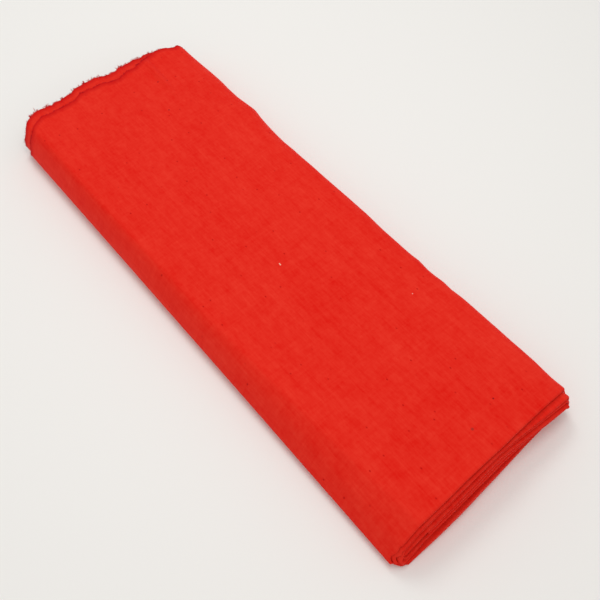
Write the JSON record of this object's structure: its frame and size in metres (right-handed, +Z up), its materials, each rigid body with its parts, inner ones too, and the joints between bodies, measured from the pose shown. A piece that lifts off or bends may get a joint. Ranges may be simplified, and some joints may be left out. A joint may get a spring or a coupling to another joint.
{
  "type": "flat-wound length of khadi silk fabric",
  "caption": "Length of plain red handwoven silk, doubled selvedge to selvedge and wound flat into a long soft bundle, lying on one face.",
  "frame": {"origin": "middle of the bundle's box, on the surface it lies on", "axes": "+X along the doubled width towards its fold, +Y across the plies towards the tight side, +Z up"},
  "size_m": [0.5954, 0.213, 0.043],
  "materials": {
    "silk": "plain handwoven silk, soft sheen, fine slubs"
  },
  "bodies": {
    "root": {"cloth": "silk"}
  },
  "joints": []
}
